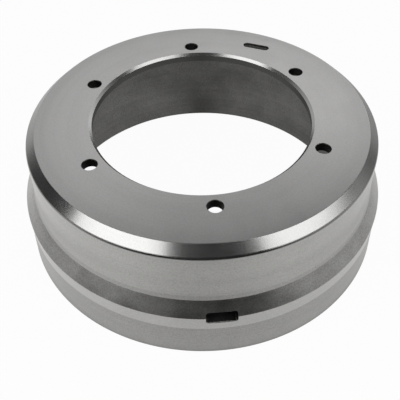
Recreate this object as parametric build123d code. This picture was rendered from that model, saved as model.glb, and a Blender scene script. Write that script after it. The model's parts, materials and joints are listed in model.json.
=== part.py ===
from build123d import *
import os

# Brake drum of a heavy road vehicle: one iron casting, turned inside and outside.
# Lengths are millimetres and angles are degrees. The drum stands on its open end with +Z
# along its axis, and the origin is the centre of the open end's face.

# Braking surface and walls. A wall is the iron outside the braking surface's radius.
braking_diameter = 400.0
neck_top_wall = 11.2
neck_foot_wall = 15.9
belt_wall = 28.1
mouth_wall = 31.2

# Heights of the outside, from the open end upwards. The neck takes up what is left.
drum_height = 156.0
skirt_height = 45.4
belt_height = 19.4
shoulder_height = 16.6

# Foot of the neck: the last stretch above the shoulder flares out more, in a shallow hollow.
neck_flare_height = 12.0
neck_flare_width = 2.6
neck_flare_round = 70.0

# Flange that closes the drum, with the bore that centres it on the hub.
flange_thickness = 11.0
flange_width = 67.5
flange_edge_width = 11.6
flange_edge_height = 10.4
pilot_chamfer = 3.0

# Inside: the turned relief above the braking surface and the lead-in at the mouth.
relief_height = 17.0
relief_depth = 2.5
mouth_chamfer = 1.8

# Rounded corners of the section.
face_edge_round = 1.0
flange_edge_round = 5.0
crease_round = 1.5
belt_edge_round = 1.5
mouth_edge_round = 2.0
inner_corner_round = 10.0

# Bolt holes. The first one stands straight above the window.
bolt_count = 6
bolt_hole_diameter = 17.5
bolt_land = 19.0
window_angle = -90.0

# Round-ended slot through the flange, turned a little from the tangent.
slot_length = 35.0
slot_width = 10.0
slot_land = 35.5
slot_angle = 57.8
slot_turn = 6.9

# Inspection window through the wall, across the edge between belt and shoulder.
window_width = 34.0
window_height = 13.5
window_corner = 2.8
window_drop = 1.2

# How far a cutting body runs past the faces that it cuts.
cut_margin = 5.0

# Radii that follow from the sizes above.
braking_radius = braking_diameter / 2
neck_top_radius = braking_radius + neck_top_wall
neck_foot_radius = braking_radius + neck_foot_wall
belt_radius = braking_radius + belt_wall
mouth_radius = braking_radius + mouth_wall
relief_radius = braking_radius + relief_depth
face_radius = neck_top_radius - flange_edge_width
flare_radius = neck_foot_radius - neck_flare_width
pilot_radius = braking_radius - flange_width
bolt_circle_radius = pilot_radius + bolt_land
slot_radius = pilot_radius + slot_land

# Heights that follow from the sizes above.
belt_top = skirt_height + belt_height
shoulder_top = belt_top + shoulder_height
neck_top = drum_height - flange_edge_height
flare_top = shoulder_top + neck_flare_height
flange_underside = drum_height - flange_thickness
relief_foot = flange_underside - relief_height
window_level = belt_top - window_drop


def rounded(section, corner, radius):
    # The section with the corner nearest to the given point rounded.
    vertex = section.vertices().sort_by_distance((corner[0], corner[1], 0))[0]
    return fillet(vertex, radius)


def wall_section():
    # Half section of the drum: X is the distance from the axis and Y is the height.
    face_edge = (face_radius, drum_height)
    neck_top_corner = (neck_top_radius, neck_top)
    flare_start = (flare_radius, flare_top)
    crease = (neck_foot_radius, shoulder_top)
    belt_top_edge = (belt_radius, belt_top)
    mouth_edge = (mouth_radius, 0)
    inner_corner = (relief_radius, flange_underside)
    outline = Polyline(
        (pilot_radius, flange_underside),
        (pilot_radius, drum_height - pilot_chamfer),
        (pilot_radius + pilot_chamfer, drum_height),
        face_edge,
        neck_top_corner,
        flare_start,
        crease,
        belt_top_edge,
        (belt_radius, skirt_height),
        mouth_edge,
        (braking_radius + mouth_chamfer, 0),
        (braking_radius, mouth_chamfer),
        (braking_radius, relief_foot),
        (relief_radius, relief_foot + relief_depth),
        inner_corner,
        close=True,
    )
    section = make_face(outline)
    section = rounded(section, face_edge, face_edge_round)
    section = rounded(section, neck_top_corner, flange_edge_round)
    section = rounded(section, flare_start, neck_flare_round)
    section = rounded(section, crease, crease_round)
    section = rounded(section, belt_top_edge, belt_edge_round)
    section = rounded(section, mouth_edge, mouth_edge_round)
    return rounded(section, inner_corner, inner_corner_round)


def casting():
    # The section swept once round the axis.
    return revolve(Plane.XZ * wall_section(), Axis.Z)


def through_flange(sketch):
    # A cutting body of the sketch's outline through the whole flange.
    depth = flange_thickness + 2 * cut_margin
    start = Plane.XY.offset(flange_underside - cut_margin)
    return extrude(start * sketch, depth, dir=(0, 0, 1))


def bolt_holes():
    # Equally spaced holes, the first in line with the window.
    places = PolarLocations(bolt_circle_radius, bolt_count, start_angle=window_angle)
    return [through_flange(place * Circle(bolt_hole_diameter / 2)) for place in places]


def flange_slot():
    # The slot lies across the radius at its centre, less a small turn towards it.
    outline = SlotOverall(slot_length, slot_width, rotation=90 + slot_turn)
    place = Rot(0, 0, slot_angle) * Pos(slot_radius, 0, 0)
    return through_flange(place * outline)


def window():
    # Straight cut through the wall, along the radius.
    inner_end = braking_radius - cut_margin
    depth = mouth_radius + cut_margin - inner_end
    outline = RectangleRounded(window_width, window_height, window_corner)
    wall_plane = Plane(origin=(inner_end, 0, window_level), x_dir=(0, 1, 0), z_dir=(1, 0, 0))
    cutter = extrude(wall_plane * outline, depth, dir=(1, 0, 0))
    return Rot(0, 0, window_angle) * cutter


def brake_drum():
    drum = casting()
    for hole in bolt_holes():
        drum -= hole
    drum -= flange_slot()
    drum -= window()
    return drum


os.makedirs("parts", exist_ok=True)
export_step(brake_drum(), "parts/brake_drum.step")
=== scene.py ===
import bpy
import bmesh
import json
import math
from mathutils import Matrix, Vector


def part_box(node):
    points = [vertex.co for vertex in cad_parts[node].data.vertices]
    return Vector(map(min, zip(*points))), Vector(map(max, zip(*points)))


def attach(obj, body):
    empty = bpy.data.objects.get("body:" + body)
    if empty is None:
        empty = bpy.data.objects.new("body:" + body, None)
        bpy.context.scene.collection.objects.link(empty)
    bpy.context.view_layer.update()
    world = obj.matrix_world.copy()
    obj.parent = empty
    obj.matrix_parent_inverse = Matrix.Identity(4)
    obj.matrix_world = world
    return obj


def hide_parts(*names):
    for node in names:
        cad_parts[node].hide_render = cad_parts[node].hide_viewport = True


# Brake drum: one turned iron casting, standing on its open end.
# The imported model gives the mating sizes, and the finish of each turned stretch is built here.

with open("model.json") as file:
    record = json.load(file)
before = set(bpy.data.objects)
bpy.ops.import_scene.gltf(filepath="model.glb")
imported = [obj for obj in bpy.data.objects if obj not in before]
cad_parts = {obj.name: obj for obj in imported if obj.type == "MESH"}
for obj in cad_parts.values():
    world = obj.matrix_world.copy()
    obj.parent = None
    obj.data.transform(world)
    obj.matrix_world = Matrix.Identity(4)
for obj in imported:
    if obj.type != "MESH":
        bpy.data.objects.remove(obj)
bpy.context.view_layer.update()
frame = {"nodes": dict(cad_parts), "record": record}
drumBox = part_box("brake_drum")
mounts = {mount["name"]: mount for mount in frame["record"]["mounts"]}
print("frame loaded:", len(frame["nodes"]), "node,", len(mounts), "mounts")


def mountSize(mountName, sizeName):
    return mounts[mountName]["dims"][sizeName] / 1000


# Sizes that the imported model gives, in metres, and the number of bolt holes
pilotRadius = mountSize("pilot_bore", "r_mm")
brakingRadius = mountSize("braking_surface", "r_mm")
boltHoleRadius = mountSize("bolt_holes", "hole_r_mm")
boltCircleRadius = mountSize("bolt_holes", "pcd_mm") / 2
boltCount = mounts["bolt_holes"]["dims"]["count"]
underside = mounts["hub_face"]["pos_m"][2]
top = drumBox[1][2]


# Shader helpers

def addNode(tree, kind, values=None, **settings):
    node = tree.nodes.new(kind)
    for name, value in settings.items():
        setattr(node, name, value)
    for name, value in (values or {}).items():
        node.inputs[name].default_value = value
    return node


def give(tree, socket, value):
    # Sets a socket to a plain number, or links it to another socket
    if isinstance(value, (int, float)):
        socket.default_value = value
    else:
        tree.links.new(value, socket)


def mathNode(tree, operation, *values):
    node = addNode(tree, "ShaderNodeMath", operation=operation)
    for place, value in enumerate(values):
        give(tree, node.inputs[place], value)
    return node.outputs[0]


def total(tree, first, *others):
    for other in others:
        first = mathNode(tree, "ADD", first, other)
    return first


def product(tree, first, *others):
    for other in others:
        first = mathNode(tree, "MULTIPLY", first, other)
    return first


def spread(tree, value, fromRange, low, high, smooth=False):
    # Goes from low to high while the value goes through its range
    node = addNode(tree, "ShaderNodeMapRange")
    if smooth:
        node.interpolation_type = "SMOOTHSTEP"
    ends = {"Value": value, "From Min": fromRange[0], "From Max": fromRange[1], "To Min": low, "To Max": high}
    for name, end in ends.items():
        give(tree, node.inputs[name], end)
    return node.outputs["Result"]


def fade(tree, value, fromRange, low, high):
    return spread(tree, value, fromRange, low, high, smooth=True)


def levelDistance(tree, x, y):
    # Distance from the drum's axis, never so small that a division by it goes wrong
    square = total(tree, product(tree, x, x), product(tree, y, y))
    return mathNode(tree, "MAXIMUM", mathNode(tree, "SQRT", square), 0.001)


def newGroup(name, inputs, outputs):
    group = bpy.data.node_groups.new(name, "ShaderNodeTree")
    for socketName, default in inputs.items():
        socket = group.interface.new_socket(socketName, in_out="INPUT", socket_type="NodeSocketFloat")
        socket.default_value = default
    for socketName in outputs:
        group.interface.new_socket(socketName, in_out="OUTPUT", socket_type="NodeSocketFloat")
    return group, group.nodes.new("NodeGroupInput"), group.nodes.new("NodeGroupOutput")


# Concentric marks of the turning tool: noise that changes fast across the drum's section
# and slowly round its axis
turningDefaults = {"Marks Per Metre": 500.0, "Round The Ring": 1.5}
turningNoise = {
    "fine": {"Scale": 1.0, "Detail": 2.0, "Roughness": 0.6},
    "broad": {"Scale": 0.16, "Detail": 1.0, "Roughness": 0.5},
}


def buildTurningMarks():
    group, given, result = newGroup("turningMarks", turningDefaults, ("Height", "Tone", "Radius"))
    link = group.links.new
    marks = given.outputs["Marks Per Metre"]
    ring = given.outputs["Round The Ring"]
    place = addNode(group, "ShaderNodeTexCoord")
    split = addNode(group, "ShaderNodeSeparateXYZ")
    link(place.outputs["Object"], split.inputs[0])
    x, y, z = split.outputs
    radius = levelDistance(group, x, y)
    cosine = product(group, mathNode(group, "DIVIDE", x, radius), ring)
    sine = product(group, mathNode(group, "DIVIDE", y, radius), ring)
    section = addNode(group, "ShaderNodeCombineXYZ")
    for number, part in enumerate((product(group, radius, marks), product(group, z, marks), cosine)):
        link(part, section.inputs[number])
    noise = {}
    for name, values in turningNoise.items():
        noise[name] = addNode(group, "ShaderNodeTexNoise", values, noise_dimensions="4D")
        link(section.outputs[0], noise[name].inputs["Vector"])
        link(sine, noise[name].inputs["W"])
    both = total(group, noise["fine"].outputs["Fac"], noise["broad"].outputs["Fac"])
    link(noise["fine"].outputs["Fac"], result.inputs["Height"])
    link(product(group, both, 0.5), result.inputs["Tone"])
    link(radius, result.inputs["Radius"])
    return group


# Grain of the iron: fine speckle and soft blotches
grainDefaults = {"Speckle Scale": 640.0, "Blotch Scale": 30.0}
grainNoise = {
    "Speckle": {"Detail": 3.0, "Roughness": 0.65},
    "Blotch": {"Detail": 4.0, "Roughness": 0.55, "Distortion": 0.3},
}


def buildIronGrain():
    group, given, result = newGroup("ironGrain", grainDefaults, tuple(grainNoise))
    link = group.links.new
    place = addNode(group, "ShaderNodeTexCoord")
    for name, values in grainNoise.items():
        noise = addNode(group, "ShaderNodeTexNoise", values)
        link(place.outputs["Object"], noise.inputs["Vector"])
        link(given.outputs[name + " Scale"], noise.inputs["Scale"])
        link(noise.outputs["Fac"], result.inputs[name])
    return group


# Edges paler in patches: rubbed by handling, and a painted highlight standing in for a rounded
# edge that catches the light. The alignment of the true normal with a rounded one is 1 on a flat face and
# less at an edge.
wearDefaults = {"Patchiness": 0.5}
wearEdge = {"radius": 0.0009, "samples": 6, "alignment": (0.86, 0.998)}
wearNoise = {"Scale": 180.0, "Detail": 3.0}
wearRange = (0.35, 0.65)  # noise between the least and the most worn patches


def buildEdgeWearAndSheen():
    group, given, result = newGroup("edgeWearAndSheen", wearDefaults, ("Wear",))
    link = group.links.new
    surface = addNode(group, "ShaderNodeNewGeometry")
    rounded = addNode(group, "ShaderNodeBevel", {"Radius": wearEdge["radius"]}, samples=wearEdge["samples"])
    alignment = addNode(group, "ShaderNodeVectorMath", operation="DOT_PRODUCT")
    link(surface.outputs["Normal"], alignment.inputs[0])
    link(rounded.outputs["Normal"], alignment.inputs[1])
    edge = spread(group, alignment.outputs["Value"], wearEdge["alignment"], 1.0, 0.0)
    place = addNode(group, "ShaderNodeTexCoord")
    patches = addNode(group, "ShaderNodeTexNoise", wearNoise)
    link(place.outputs["Object"], patches.inputs["Vector"])
    least = mathNode(group, "SUBTRACT", 1.0, given.outputs["Patchiness"])
    keep = spread(group, patches.outputs["Fac"], wearRange, least, 1.0)
    link(product(group, edge, keep), result.inputs["Wear"])
    return group


turningMarks = buildTurningMarks()
ironGrain = buildIronGrain()
edgeWearAndSheen = buildEdgeWearAndSheen()

# One finish for each kind of turned or cut face. Tones are linear grey, marks are per metre and
# depths are thousandths of a millimetre. The lean is how much paler the flange is at its bore than
# at the braking surface's radius, and the rim shade how much darker its last ring is, a painted shade.
finishes = {
    "facedFlange": {"tone": 0.420, "contrast": 0.050, "lean": 0.11, "rimShade": 0.05,
                    "warmth": (1.010, 1.000, 0.992), "roughness": 0.36, "aniso": 0.35, "marks": 380.0,
                    "markDepth": 10.0, "grainDepth": 12.0, "wearAndSheen": 0.05},
    "brightBevel": {"tone": 0.400, "contrast": 0.020, "warmth": (1.004, 1.000, 0.985),
                    "roughness": 0.24, "aniso": 0.30, "marks": 900.0,
                    "markDepth": 1.5, "grainDepth": 1.0, "wearAndSheen": 0.05},
    # Painted shade: the round under the flange's edge is a darker grey than the neck
    "roundedRimShaded": {"tone": 0.280, "contrast": 0.020, "roughness": 0.24, "aniso": 0.30, "marks": 900.0,
                   "markDepth": 3.0, "grainDepth": 1.0, "wearAndSheen": 0.05},
    # Painted shade: the flared foot is a darker grey than the neck, for the shade in the hollow above the
    # shoulder
    "flaredFootShaded": {"tone": 0.325, "contrast": 0.075, "roughness": 0.36, "aniso": 0.40, "marks": 420.0,
                   "markDepth": 8.0, "grainDepth": 14.0, "wearAndSheen": 0.05},
    "turnedNeck": {"tone": 0.365, "contrast": 0.075, "roughness": 0.36, "aniso": 0.40, "marks": 420.0,
                   "markDepth": 8.0, "grainDepth": 14.0, "wearAndSheen": 0.05},
    "turnedShoulder": {"tone": 0.342, "contrast": 0.120, "roughness": 0.33, "aniso": 0.20, "marks": 600.0,
                       "markDepth": 6.0, "grainDepth": 20.0, "wearAndSheen": 0.08},
    "groundBelt": {"tone": 0.395, "contrast": 0.065, "roughness": 0.32, "aniso": 0.40, "marks": 600.0,
                   "markDepth": 6.0, "grainDepth": 12.0, "wearAndSheen": 0.08},
    "turnedSkirt": {"tone": 0.305, "contrast": 0.070, "roughness": 0.38, "aniso": 0.40, "marks": 420.0,
                    "markDepth": 8.0, "grainDepth": 14.0, "wearAndSheen": 0.05},
    "brakingIron": {"tone": 0.380, "contrast": 0.140, "warmth": (1.012, 1.000, 0.958),
                    "roughness": 0.27, "aniso": 0.40, "marks": 2200.0,
                    "markDepth": 10.0, "grainDepth": 10.0, "wearAndSheen": 0.05},
    "boredIron": {"tone": 0.240, "contrast": 0.030, "roughness": 0.28, "aniso": 0.30, "marks": 800.0,
                  "markDepth": 6.0, "grainDepth": 4.0, "wearAndSheen": 0.05},
    # Painted shade: near-black walls for the bolt holes and the window's inside, which lie in shade
    "cutIron": {"tone": 0.035, "contrast": 0.015, "roughness": 0.42, "aniso": 0.0, "marks": 500.0,
                "markDepth": 8.0, "grainDepth": 10.0, "wearAndSheen": 0.15},
    "openIron": {"tone": 0.220, "contrast": 0.160, "roughness": 0.65, "aniso": 0.0, "marks": 900.0,
                 "markDepth": 20.0, "grainDepth": 40.0, "wearAndSheen": 0.10},
}
finishShared = {
    "warmth": (1.012, 1.000, 0.970),  # the iron is a very little warmer than grey
    "marksShare": 0.20,  # the three shares of the mottle add up to one
    "blotchShare": 0.25,
    "speckleShare": 0.55,
    "mottleRange": (0.35, 0.65),  # noise between a finish's darkest and palest grey
    "blotchRange": (0.3, 0.7),  # noise between its glossiest and dullest spots
    "glossSwing": 0.12,  # share by which those spots differ from the finish's own roughness
    "anisoTurn": 0.25,  # a quarter turn from the direction round the axis
    "rimShadeRing": (0.180, 0.192),  # radii over which the flange is painted darker towards its rim, a painted shade
    "depthUnit": 0.000001,  # a thousandth of a millimetre, in metres
}


def buildFinish(name, look):
    shared = finishShared
    material = bpy.data.materials.new(name)
    material.use_nodes = True
    tree = material.node_tree
    link = tree.links.new
    shader = tree.nodes["Principled BSDF"]
    shader.inputs["Metallic"].default_value = 1.0
    shader.inputs["Anisotropic"].default_value = look["aniso"]
    shader.inputs["Anisotropic Rotation"].default_value = shared["anisoTurn"]
    marks = addNode(tree, "ShaderNodeGroup", node_tree=turningMarks)
    marks.inputs["Marks Per Metre"].default_value = look["marks"]
    grain = addNode(tree, "ShaderNodeGroup", node_tree=ironGrain)
    wearAndSheen = addNode(tree, "ShaderNodeGroup", node_tree=edgeWearAndSheen)
    # Tone: marks, blotches and speckle pull the grey up and down round its middle value
    mottle = total(tree, product(tree, marks.outputs["Tone"], shared["marksShare"]),
                   product(tree, grain.outputs["Blotch"], shared["blotchShare"]),
                   product(tree, grain.outputs["Speckle"], shared["speckleShare"]))
    darkest = look["tone"] - look["contrast"]
    palest = look["tone"] + look["contrast"]
    grey = spread(tree, mottle, shared["mottleRange"], darkest, palest)
    # Paler edges: wear, and a painted highlight for rounded edges
    grey = total(tree, grey, product(tree, wearAndSheen.outputs["Wear"], look["wearAndSheen"]))
    if "lean" in look:
        inward = spread(tree, marks.outputs["Radius"], (pilotRadius, brakingRadius),
                        1.0 + look["lean"] / 2, 1.0 - look["lean"] / 2)
        # Painted shade: the flange's grey darkens over its last ring towards the rim
        rim = fade(tree, marks.outputs["Radius"], shared["rimShadeRing"], 1.0, 1.0 - look["rimShade"])
        grey = product(tree, grey, inward, rim)
    colour = addNode(tree, "ShaderNodeCombineColor")
    for place, share in enumerate(look.get("warmth", shared["warmth"])):
        link(product(tree, grey, share), colour.inputs[place])
    link(colour.outputs[0], shader.inputs["Base Color"])
    # Roughness follows the blotches
    glossiest = look["roughness"] * (1.0 - shared["glossSwing"])
    dullest = look["roughness"] * (1.0 + shared["glossSwing"])
    rough = spread(tree, grain.outputs["Blotch"], shared["blotchRange"], glossiest, dullest)
    link(rough, shader.inputs["Roughness"])
    # Relief of the marks, then of the grain
    markDepth = look["markDepth"] * shared["depthUnit"]
    grainDepth = look["grainDepth"] * shared["depthUnit"]
    markRelief = addNode(tree, "ShaderNodeBump", {"Strength": 1.0, "Distance": markDepth})
    grainRelief = addNode(tree, "ShaderNodeBump", {"Strength": 1.0, "Distance": grainDepth})
    link(marks.outputs["Height"], markRelief.inputs["Height"])
    link(grain.outputs["Speckle"], grainRelief.inputs["Height"])
    link(markRelief.outputs[0], grainRelief.inputs["Normal"])
    link(grainRelief.outputs[0], shader.inputs["Normal"])
    tangent = addNode(tree, "ShaderNodeTangent", direction_type="RADIAL", axis="Z")
    link(tangent.outputs[0], shader.inputs["Tangent"])
    return material


materials = {name: buildFinish(name, look) for name, look in finishes.items()}
print("finishes built:", ", ".join(materials))

# The casting. Walls are the iron outside the braking surface, in metres. The mouth is 0.07 mm
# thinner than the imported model's, so that this finer mesh keeps inside that model's box.
drumShape = {
    "neckTopWall": 0.0112,
    "neckFootWall": 0.0159,
    "beltWall": 0.0281,
    "mouthWall": 0.03113,
    "skirtHeight": 0.0454,
    "beltHeight": 0.0194,
    "shoulderHeight": 0.0166,
    "neckFlareHeight": 0.0120,
    "neckFlareWidth": 0.0026,
    "neckFlareRound": 0.0700,
    "flangeEdgeWidth": 0.0116,
    "flangeEdgeHeight": 0.0104,
    "pilotChamfer": 0.0030,
    "reliefHeight": 0.0170,
    "reliefDepth": 0.0025,
    "mouthChamfer": 0.0018,
    "faceEdgeRound": 0.0010,
    "flangeEdgeRound": 0.0050,
    "creaseRound": 0.0015,
    "beltEdgeRound": 0.0015,
    "mouthEdgeRound": 0.0020,
    "innerCornerRound": 0.0100,
    "segments": 288,
    "roundSteps": 8,
    "supportGap": 0.0003,
    "sharpAngle": 28.0,
}
arcFinishes = {"turnedNeck": "roundedRimShaded"}  # the round that leads into the neck is glossier, and a darker grey as painted shade under the flange's edge


def drumCorners(shape):
    # Corners of the section: distance from the axis, height, rounding, finish of the stretch after it
    neckTop = brakingRadius + shape["neckTopWall"]
    neckFoot = brakingRadius + shape["neckFootWall"]
    belt = brakingRadius + shape["beltWall"]
    relief = brakingRadius + shape["reliefDepth"]
    beltTop = shape["skirtHeight"] + shape["beltHeight"]
    shoulderTop = beltTop + shape["shoulderHeight"]
    reliefFoot = underside - shape["reliefHeight"]
    flare = (neckFoot - shape["neckFlareWidth"], shoulderTop + shape["neckFlareHeight"])
    return [
        (pilotRadius, underside, 0.0, "boredIron"),
        (pilotRadius, top - shape["pilotChamfer"], 0.0, "brightBevel"),
        (pilotRadius + shape["pilotChamfer"], top, 0.0, "facedFlange"),
        (neckTop - shape["flangeEdgeWidth"], top, shape["faceEdgeRound"], "brightBevel"),
        (neckTop, top - shape["flangeEdgeHeight"], shape["flangeEdgeRound"], "turnedNeck"),
        (*flare, shape["neckFlareRound"], "flaredFootShaded"),
        (neckFoot, shoulderTop, shape["creaseRound"], "turnedShoulder"),
        (belt, beltTop, shape["beltEdgeRound"], "groundBelt"),
        (belt, shape["skirtHeight"], 0.0, "turnedSkirt"),
        (brakingRadius + shape["mouthWall"], 0.0, shape["mouthEdgeRound"], "turnedSkirt"),
        (brakingRadius + shape["mouthChamfer"], 0.0, 0.0, "brightBevel"),
        (brakingRadius, shape["mouthChamfer"], 0.0, "brakingIron"),
        (brakingRadius, reliefFoot, 0.0, "brakingIron"),
        (relief, reliefFoot + shape["reliefDepth"], 0.0, "brakingIron"),
        (relief, underside, shape["innerCornerRound"], "turnedShoulder"),
    ]


def roundedCorner(before, corner, after, radius, steps):
    # Points of the arc that rounds a corner of the section, or the corner itself
    if radius == 0.0:
        return [corner]
    toBefore = (before - corner).normalized()
    toAfter = (after - corner).normalized()
    half = toBefore.angle(toAfter) / 2
    reach = radius / math.tan(half)
    centre = corner + (toBefore + toAfter).normalized() * (radius / math.sin(half))
    start = corner + toBefore * reach - centre
    end = corner + toAfter * reach - centre
    sweep = start.angle(end)
    points = []
    for step in range(steps + 1):
        share = step / steps
        fromStart = start * math.sin((1 - share) * sweep)
        fromEnd = end * math.sin(share * sweep)
        points.append(centre + (fromStart + fromEnd) / math.sin(sweep))
    return points


def sectionRings(shape):
    # Every ring of the lathe mesh with the finish of the faces after it. A ring close to each side
    # of a corner keeps the stretches beside it flat.
    corners = drumCorners(shape)
    places = [Vector((radius, height)) for radius, height, _, _ in corners]
    rings = []
    for number, (_, _, rounding, finish) in enumerate(corners):
        corner = places[number]
        before = places[number - 1]
        after = places[(number + 1) % len(places)]
        lastFinish = corners[number - 1][3]
        arc = roundedCorner(before, corner, after, rounding, shape["roundSteps"])
        rings.append((arc[0] + (before - corner).normalized() * shape["supportGap"], lastFinish))
        for point in arc[:-1]:
            rings.append((point, arcFinishes.get(finish, lastFinish)))
        rings.append((arc[-1], finish))
        rings.append((arc[-1] + (after - corner).normalized() * shape["supportGap"], finish))
    return rings


# Meshes from loops of vertices

def joinLoops(mesh, here, there, slotNumber):
    for step in range(len(here)):
        beside = (step + 1) % len(here)
        face = mesh.faces.new((here[step], here[beside], there[beside], there[step]))
        face.material_index = slotNumber


def meshData(mesh, name):
    data = bpy.data.meshes.new(name)
    mesh.to_mesh(data)
    mesh.free()
    return data


def newObject(name, data):
    thing = bpy.data.objects.new(name, data)
    bpy.context.scene.collection.objects.link(thing)
    return thing


def latheMesh(name, rings, segments, finishOrder):
    # Starts half a segment round, so that no edge runs through the middle of a hole
    mesh = bmesh.new()
    loops = []
    for point, _ in rings:
        angles = [2 * math.pi * (step + 0.5) / segments for step in range(segments)]
        loops.append([mesh.verts.new((point.x * math.cos(angle), point.x * math.sin(angle), point.y))
                      for angle in angles])
    for number, (_, finish) in enumerate(rings):
        joinLoops(mesh, loops[number], loops[(number + 1) % len(loops)], finishOrder.index(finish))
    bmesh.ops.recalc_face_normals(mesh, faces=mesh.faces)
    return meshData(mesh, name)


# Cutting tools for the holes, the slot and the window
cutShape = {
    "holeEdge": 0.0006,
    "deepStart": 0.0024,
    "holeSteps": 48,
    "slotLength": 0.0350,
    "slotWidth": 0.0100,
    "slotRadius": 0.1680,
    "slotAngle": 57.8,
    "slotTurn": 6.9,
    "slotSteps": 24,
    "windowWidth": 0.0340,
    "windowHeight": 0.0135,
    "windowCorner": 0.0028,
    "windowEdge": 0.0007,
    "windowLevel": 0.0636,
    "windowAngle": -90.0,
    "windowSteps": 8,
    "margin": 0.0050,
    "mergeDistance": 0.000001,
}


def cornerOutline(width, height, radius, steps):
    # Rectangle with round corners. A slot is one whose corners take up its whole height.
    points = []
    for turn, (sideX, sideY) in enumerate(((1, 1), (-1, 1), (-1, -1), (1, -1))):
        for step in range(steps + 1):
            angle = math.pi / 2 * (turn + step / steps)
            points.append((sideX * (width / 2 - radius) + radius * math.cos(angle),
                           sideY * (height / 2 - radius) + radius * math.sin(angle)))
    return points


# Outlines that can grow on every side, for the broken edges

def boltOutline(growth):
    radius = boltHoleRadius + growth
    angles = [2 * math.pi * step / cutShape["holeSteps"] for step in range(cutShape["holeSteps"])]
    return [(radius * math.cos(angle), radius * math.sin(angle)) for angle in angles]


def slotOutline(growth):
    length = cutShape["slotLength"] + 2 * growth
    width = cutShape["slotWidth"] + 2 * growth
    return cornerOutline(length, width, width / 2, cutShape["slotSteps"])


def windowOutline(growth):
    width = cutShape["windowWidth"] + 2 * growth
    height = cutShape["windowHeight"] + 2 * growth
    return cornerOutline(width, height, cutShape["windowCorner"] + growth, cutShape["windowSteps"])


def loftedCutter(name, layers, stretches):
    # Closed body through a stack of outlines, given as lists of points, with a finish for each stretch
    mesh = bmesh.new()
    loops = [[mesh.verts.new(point) for point in layer] for layer in layers]
    used = sorted(set(stretches))
    for here, there, finish in zip(loops, loops[1:], stretches):
        joinLoops(mesh, here, there, used.index(finish))
    mesh.faces.new(loops[0])
    mesh.faces.new(loops[-1])
    bmesh.ops.remove_doubles(mesh, verts=mesh.verts, dist=cutShape["mergeDistance"])
    bmesh.ops.recalc_face_normals(mesh, faces=mesh.faces)
    cutter = newObject(name, meshData(mesh, name))
    for finish in used:
        cutter.data.materials.append(materials[finish])
    return cutter


def flangeCutter(name, outlineFor, radius, angle, turn, deepFinish):
    # Straight through the flange, opening out at its top face by the broken edge. The deep part of
    # its wall can have a finish of its own.
    edge = cutShape["holeEdge"]
    centreX = radius * math.cos(angle)
    centreY = radius * math.sin(angle)
    cosine = math.cos(turn)
    sine = math.sin(turn)
    levels = [
        (underside - cutShape["margin"], 0.0),
        (top - cutShape["deepStart"], 0.0),
        (top - edge, 0.0),
        (top + edge, 2 * edge),
    ]
    layers = []
    for height, growth in levels:
        layers.append([(centreX + x * cosine - y * sine, centreY + x * sine + y * cosine, height)
                       for x, y in outlineFor(growth)])
    return loftedCutter(name, layers, (deepFinish, "cutIron", "cutIron"))


def boltCutters():
    cutters = []
    for number in range(boltCount):
        angle = math.radians(cutShape["windowAngle"] + 360 * number / boltCount)
        name = f"boltCutter{number}"
        cutters.append(flangeCutter(name, boltOutline, boltCircleRadius, angle, 0.0, "cutIron"))
    return cutters


def slotCutter():
    angle = math.radians(cutShape["slotAngle"])
    turn = angle + math.radians(90 + cutShape["slotTurn"])
    return flangeCutter("slotCutter", slotOutline, cutShape["slotRadius"], angle, turn, "openIron")


def windowCutter():
    # Along the radius through the wall, opening out from just under the belt's face
    angle = math.radians(cutShape["windowAngle"])
    outward = Vector((math.cos(angle), math.sin(angle), 0.0))
    across = Vector((-math.sin(angle), math.cos(angle), 0.0))
    upward = Vector((0.0, 0.0, 1.0))
    inner = brakingRadius - cutShape["margin"]
    outer = drumBox[1][0] + cutShape["margin"]
    opening = brakingRadius + drumShape["beltWall"] - 2 * cutShape["windowEdge"]
    layers = []
    for distance, growth in ((inner, 0.0), (opening, 0.0), (outer, (outer - opening) / 2)):
        middle = outward * distance + upward * cutShape["windowLevel"]
        layers.append([middle + across * x + upward * y for x, y in windowOutline(growth)])
    return loftedCutter("windowCutter", layers, ("cutIron", "openIron"))


def cutThrough(target, cutters):
    # Takes every cutter out of the target, keeps the result and drops the cutters
    for cutter in cutters:
        cut = target.modifiers.new(cutter.name, "BOOLEAN")
        cut.operation = "DIFFERENCE"
        cut.solver = "EXACT"
        cut.material_mode = "TRANSFER"
        cut.object = cutter
    bpy.context.view_layer.update()
    shaped = bpy.data.meshes.new_from_object(target.evaluated_get(bpy.context.evaluated_depsgraph_get()))
    target.modifiers.clear()
    target.data = shaped
    for cutter in cutters:
        bpy.data.objects.remove(cutter)


def buildDrum():
    finishOrder = list(finishes)
    data = latheMesh("brakeDrumMesh", sectionRings(drumShape), drumShape["segments"], finishOrder)
    for name in finishOrder:
        data.materials.append(materials[name])
    drum = newObject("brakeDrum", data)
    cutThrough(drum, boltCutters() + [slotCutter(), windowCutter()])
    drum.data.polygons.foreach_set("use_smooth", [True] * len(drum.data.polygons))
    drum.data.set_sharp_from_angle(angle=math.radians(drumShape["sharpAngle"]))
    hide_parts("brake_drum")
    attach(drum, "root")
    return drum


brakeDrum = buildDrum()
print("drum built:", len(brakeDrum.data.polygons), "faces,", len(brakeDrum.data.materials), "finishes")

# Studio: pale floor and white surroundings, unlit behind the camera, with two soft boxes.
# Its front faces the camera, a few degrees off the window.
studio = {
    "light": (1.0, 1.0, 1.0, 1.0),
    "heading": 5.0,
}

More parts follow.
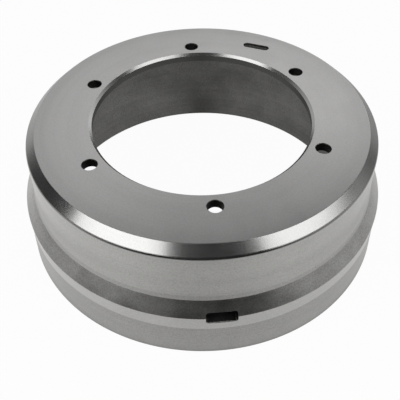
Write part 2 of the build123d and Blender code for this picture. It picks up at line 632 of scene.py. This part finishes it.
# The floor. Its size, drop and fades are in metres, but the side fade is in shares of the distance
# from the axis. From the level on, the numbers shape the painted glow that the metal reflects in
# the floor's place, with painted light to the sides and painted shadow round and inside the drum: a
# fade says between which places something changes, and all others are shares of the level.
floorLook = {
    "size": 8.0,
    "cells": 4,
    "drop": 0.0002,
    "tone": 0.80,
    "roughness": 0.9,
    "glow": 0.96,
    "level": 0.88,
    "sideFade": (0.05, 0.60),
    "sideNear": (0.27, 0.36),
    "sideLevel": 0.08,
    "sideGain": 0.36,
    "sideFar": (0.385, 0.50),
    "sideDark": 0.50,
    "leftGain": 0.06,
    "frontFade": (-0.53, -0.41),
    "frontDark": 0.04,
    "backFade": (0.0, 0.60),
    "backDark": 0.80,
    "cornerFade": (0.15, 0.35),
    "rightFade": (0.05, 0.25),
    "rightDark": 0.68,
    "footShadowFade": (0.229, 0.236),
    "footShadow": 0.40,
    "insideFade": (0.200, 0.202),
    "insideLevel": 0.25,
    "insideAside": 0.40,
    "insideAsideFade": (0.0, 0.035),
    "insideBack": 0.17,
    "insideBackFade": (-0.05, 0.10),
    "insideFoot": 0.72,
    "insideFootFade": (0.115, 0.185),
}


def studioPlace(tree, coordinates):
    # Place or direction as seen by the studio, split into right, back, up and level distance
    place = addNode(tree, "ShaderNodeTexCoord")
    turned = addNode(tree, "ShaderNodeVectorRotate", {"Angle": math.radians(studio["heading"])},
                     rotation_type="Z_AXIS")
    split = addNode(tree, "ShaderNodeSeparateXYZ")
    tree.links.new(place.outputs[coordinates], turned.inputs["Vector"])
    tree.links.new(turned.outputs[0], split.inputs[0])
    right, back, up = split.outputs
    return right, back, up, levelDistance(tree, right, back)


def paintedInsideShade(tree, right, back, distance):
    # Painted shadow of the drum on the floor that it encloses: darkest in the middle, in front and close to
    # the wall
    look = floorLook
    sides = fade(tree, mathNode(tree, "ABSOLUTE", right), look["insideAsideFade"],
                 look["insideLevel"], look["insideLevel"] + look["insideAside"])
    rear = fade(tree, back, look["insideBackFade"], 0.0, look["insideBack"])
    foot = spread(tree, distance, look["insideFootFade"], 1.0, look["insideFoot"])
    return product(tree, total(tree, sides, rear), foot)


def paintedFloorReflection(tree):
    # The floor in the metal, a painted glow: painted light brighter to the sides, and painted shade far off
    # in front, behind, in the far right corner, round the foot of the drum and inside it
    look = floorLook
    right, back, _, distance = studioPlace(tree, "Object")
    aside = mathNode(tree, "DIVIDE", right, distance)
    toSide = fade(tree, mathNode(tree, "ABSOLUTE", aside), look["sideFade"], 0.0, 1.0)
    near = spread(tree, distance, look["sideNear"], look["sideLevel"], look["sideGain"])
    far = fade(tree, distance, look["sideFar"], 0.0, -look["sideDark"])
    toLeft = product(tree, aside, -look["leftGain"])
    sides = total(tree, product(tree, toSide, total(tree, near, far)), toLeft, 1.0)
    front = fade(tree, back, look["frontFade"], look["frontDark"], 1.0)
    rear = fade(tree, back, look["backFade"], 1.0, look["backDark"])
    corner = product(tree, fade(tree, back, look["cornerFade"], 0.0, 1.0),
                     spread(tree, right, look["rightFade"], 0.0, 1.0 - look["rightDark"]))
    # Painted contact shadow round the drum's foot
    foot = spread(tree, distance, look["footShadowFade"], look["footShadow"], 1.0)
    inside = spread(tree, distance, look["insideFade"], paintedInsideShade(tree, right, back, distance), 1.0)
    farCorner = mathNode(tree, "SUBTRACT", 1.0, corner)
    return product(tree, sides, look["level"], front, rear, farCorner, foot, inside)


def mixShaders(tree, share, first, second):
    mix = addNode(tree, "ShaderNodeMixShader")
    for place, value in enumerate((share, first, second)):
        tree.links.new(value, mix.inputs[place])
    return mix.outputs[0]


def paleFloor():
    # Lit floor, near white for the camera, and for the metal a painted glow with painted light and shadow
    material = bpy.data.materials.new("paleFloor")
    material.use_nodes = True
    tree = material.node_tree
    tone = floorLook["tone"]
    shader = tree.nodes["Principled BSDF"]
    shader.inputs["Base Color"].default_value = (tone, tone, tone, 1.0)
    shader.inputs["Roughness"].default_value = floorLook["roughness"]
    shader.inputs["Specular IOR Level"].default_value = 0.0
    paintedFloorGlow = addNode(tree, "ShaderNodeEmission", {"Color": studio["light"]})
    tree.links.new(paintedFloorReflection(tree), paintedFloorGlow.inputs["Strength"])
    glow = addNode(tree, "ShaderNodeEmission", {"Color": studio["light"], "Strength": 1.0})
    path = addNode(tree, "ShaderNodeLightPath")
    whitened = product(tree, path.outputs["Is Camera Ray"], floorLook["glow"])
    seen = mixShaders(tree, whitened, shader.outputs[0], glow.outputs[0])
    mix = mixShaders(tree, path.outputs["Is Glossy Ray"], seen, paintedFloorGlow.outputs[0])
    tree.links.new(mix, tree.nodes["Material Output"].inputs["Surface"])
    return material


def buildFloor():
    mesh = bmesh.new()
    cells = floorLook["cells"]
    bmesh.ops.create_grid(mesh, x_segments=cells, y_segments=cells, size=floorLook["size"] / 2)
    floor = newObject("studioFloor", meshData(mesh, "studioFloorMesh"))
    floor.location.z = -floorLook["drop"]
    floor.data.materials.append(paleFloor())


# Surroundings as the metal reflects them. The parts of a direction go from -1 to 1: aside is to the
# right, back is towards the wall behind the drum, and up. Levels are strengths, and fades say
# between which parts of the direction something changes.
surroundings = {
    "unlit": 0.035,
    "behindLevel": 1.11,
    "behindFade": (0.42, 0.84),
    "behindRise": 0.5,
    "behindLean": 0.48,
    "rightShade": 0.45,
    "rightShadeFade": (0.45, 0.95),
    "highLevel": 0.08,
    "highFade": (0.67, 0.81),
    "highLean": 0.16,
    "lowLevel": 0.92,
    "lowFade": (0.50, 0.61),
}
# Glow from the two side walls, which ends at the height and the depth that the last two fades give
sideWalls = {
    "right": {"side": 1.0, "level": 0.60, "aside": (0.55, 0.90), "high": (0.15, 0.52), "back": (0.05, 0.55)},
    "left": {"side": -1.0, "level": 0.55, "aside": (0.60, 0.88), "high": (0.05, 0.25), "back": (-0.05, 0.10)},
}


def surroundStrength(tree):
    look = surroundings
    right, back, up, distance = studioPlace(tree, "Generated")
    aside = mathNode(tree, "DIVIDE", right, distance)
    toBack = mathNode(tree, "DIVIDE", back, distance)
    # Bright wall behind the drum, brighter to the right, with a shade at its right end
    behind = fade(tree, total(tree, toBack, product(tree, up, look["behindRise"])), look["behindFade"],
                  0.0, look["behindLevel"] - look["unlit"])
    lean = total(tree, product(tree, aside, look["behindLean"]), 1.0)
    shade = fade(tree, aside, look["rightShadeFade"], 1.0, look["rightShade"])
    # It ends overhead, and is a little dimmer low down
    high = fade(tree, total(tree, up, product(tree, aside, look["highLean"])), look["highFade"],
                1.0, look["highLevel"])
    low = spread(tree, up, look["lowFade"], look["lowLevel"], 1.0)
    parts = [product(tree, behind, lean, shade, high, low)]
    for wall in sideWalls.values():
        glow = fade(tree, product(tree, aside, wall["side"]), wall["aside"], 0.0, wall["level"])
        parts.append(product(tree, glow, fade(tree, up, wall["high"], 1.0, 0.0),
                             fade(tree, toBack, wall["back"], 1.0, 0.0)))
    return total(tree, *parts, look["unlit"])


def buildWorld():
    # White for the camera, and the surroundings for everything else
    world = bpy.data.worlds.new("studioWorld")
    bpy.context.scene.world = world
    world.use_nodes = True
    tree = world.node_tree
    surround = tree.nodes["Background"]
    surround.inputs["Color"].default_value = studio["light"]
    tree.links.new(surroundStrength(tree), surround.inputs["Strength"])
    white = addNode(tree, "ShaderNodeBackground", {"Color": studio["light"], "Strength": 1.0})
    path = addNode(tree, "ShaderNodeLightPath")
    mix = mixShaders(tree, path.outputs["Is Camera Ray"], surround.outputs[0], white.outputs[0])
    tree.links.new(mix, tree.nodes["World Output"].inputs["Surface"])


# Upright soft boxes, in metres, degrees and watts. The azimuth is the drum's own, from its +X, and
# a negative lean tips a box's top to smaller azimuths.
softBoxes = {
    "leftBox": {"azimuth": -148.2, "distance": 1.6, "width": 1.72, "low": 0.73, "high": 3.20,
                "lean": -13.0, "power": 33.7},
    "rightBox": {"azimuth": -37.4, "distance": 1.6, "width": 1.56, "low": 0.74, "high": 3.60,
                 "lean": -10.0, "power": 30.8},
}


def buildSoftBox(name, box):
    data = bpy.data.lights.new(name, "AREA")
    data.shape = "RECTANGLE"
    data.size = box["width"]
    data.size_y = box["high"] - box["low"]
    data.energy = box["power"]
    lamp = newObject(name, data)
    lamp.visible_camera = False
    azimuth = math.radians(box["azimuth"])
    lamp.location = (box["distance"] * math.cos(azimuth), box["distance"] * math.sin(azimuth),
                     (box["low"] + box["high"]) / 2)
    lamp.rotation_euler = (math.radians(90), math.radians(box["lean"]), azimuth + math.radians(90))


buildFloor()
buildWorld()
for boxName, boxLook in softBoxes.items():
    buildSoftBox(boxName, boxLook)
print("studio lit")

# Camera: normal lens, above and in front of the window
cameraView = {"place": (-0.04660, -0.53236, 0.57550), "turn": (43.0819, 0.5528, -5.2400), "lens": 50.0}


def buildCamera():
    data = bpy.data.cameras.new("camera")
    data.lens = cameraView["lens"]
    camera = newObject("camera", data)
    camera.location = cameraView["place"]
    camera.rotation_euler = [math.radians(angle) for angle in cameraView["turn"]]
    bpy.context.scene.camera = camera


buildCamera()
bpy.context.scene.view_settings.view_transform = "Standard"
print("camera set")
